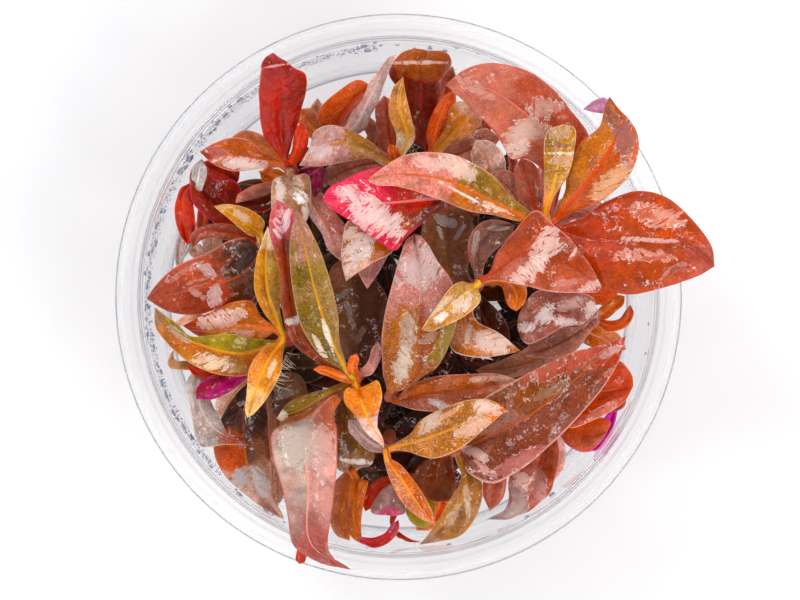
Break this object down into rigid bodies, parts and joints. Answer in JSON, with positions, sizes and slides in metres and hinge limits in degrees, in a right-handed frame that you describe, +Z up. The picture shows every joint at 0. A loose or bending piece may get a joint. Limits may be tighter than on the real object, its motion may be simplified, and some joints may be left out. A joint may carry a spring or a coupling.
{
  "type": "potted aquarium plant",
  "caption": "Small red aquarium plant with overlapping ovate leaves, rooted in clear gel in an open, tapered clear cup with a wide flange.",
  "frame": {"origin": "centre of the flat underside of the cup, which the plant rests on", "axes": "+Z up along the axis of the cup, +X towards the leaf that reaches out past the flange, +Y towards the side at the top of the view from above"},
  "size_m": [0.1053, 0.1, 0.0646],
  "materials": {
    "cup_plastic": "clear gloss",
    "gel": "clear wet gel",
    "stem": "waxy plant stem",
    "leaf_red": "waxy leaf",
    "leaf_rust": "waxy leaf",
    "leaf_brown": "waxy leaf",
    "leaf_pink": "waxy leaf",
    "leaf_rose": "waxy leaf",
    "leaf_orange": "waxy leaf",
    "leaf_amber": "waxy leaf",
    "leaf_olive": "waxy leaf",
    "leaf_grey": "wilted leaf"
  },
  "bodies": {
    "root": {"cup": "cup_plastic", "gel_medium": "gel", "shoot_centre": "stem", "shoot_below": "stem", "shoot_mid_right": "stem", "shoot_top_right": "stem", "shoot_left": "stem", "shoot_low_centre": "stem", "shoot_upper_left": "stem", "shoot_upper": "stem", "shoot_upper_right": "stem", "shoot_lower_right": "stem", "shoot_right": "stem", "shoot_far_right": "stem", "shoot_far_left": "stem", "shoot_left_upper": "stem", "shoot_top_left": "stem", "shoot_bottom": "stem", "shoot_wall_left": "stem", "shoot_bottom_left": "stem", "shoot_inner": "stem", "shoot_inner_right": "stem", "leaf_olive_long": "leaf_olive", "leaf_brown_long": "leaf_brown", "leaf_olive_under_crown": "leaf_olive", "leaf_orange_heart": "leaf_orange", "leaf_pale_pink_over_rim": "leaf_rose", "leaf_orange_blade_below": "leaf_orange", "leaf_amber_below": "leaf_amber", "leaf_broad_centre": "leaf_brown", "leaf_rust_low_centre": "leaf_rust", "leaf_amber_small": "leaf_amber", "leaf_rust_rhombic": "leaf_rust", "leaf_amber_upright": "leaf_amber", "leaf_orange_upright": "leaf_rust", "leaf_over_rim": "leaf_rust", "leaf_long_pink_olive": "leaf_rose", "leaf_big_pink_brown": "leaf_rose", "leaf_bright_pink": "leaf_pink", "leaf_wet_crinkled": "leaf_brown", "leaf_big_right": "leaf_rust", "leaf_orange_right_wing": "leaf_orange", "leaf_brown_red_lower": "leaf_brown", "leaf_olive_lower": "leaf_olive", "leaf_orange_twisted": "leaf_orange", "leaf_translucent_brown": "leaf_brown", "leaf_silver_wilted": "leaf_grey", "leaf_ochre_down": "leaf_orange", "leaf_yellow_olive_left": "leaf_olive", "leaf_orange_pink_left": "leaf_orange", "leaf_amber_left": "leaf_amber", "leaf_big_brown_red_left": "leaf_rust", "leaf_ochre_upper_left": "leaf_amber", "leaf_dark_red_cupped": "leaf_red", "leaf_tall_red": "leaf_red", "leaf_amber_pink_left": "leaf_orange", "leaf_white_glint": "leaf_brown", "leaf_twisted_pale": "leaf_rose", "leaf_orange_red_top": "leaf_rust", "leaf_folded_top": "leaf_rust"}
  },
  "joints": []
}
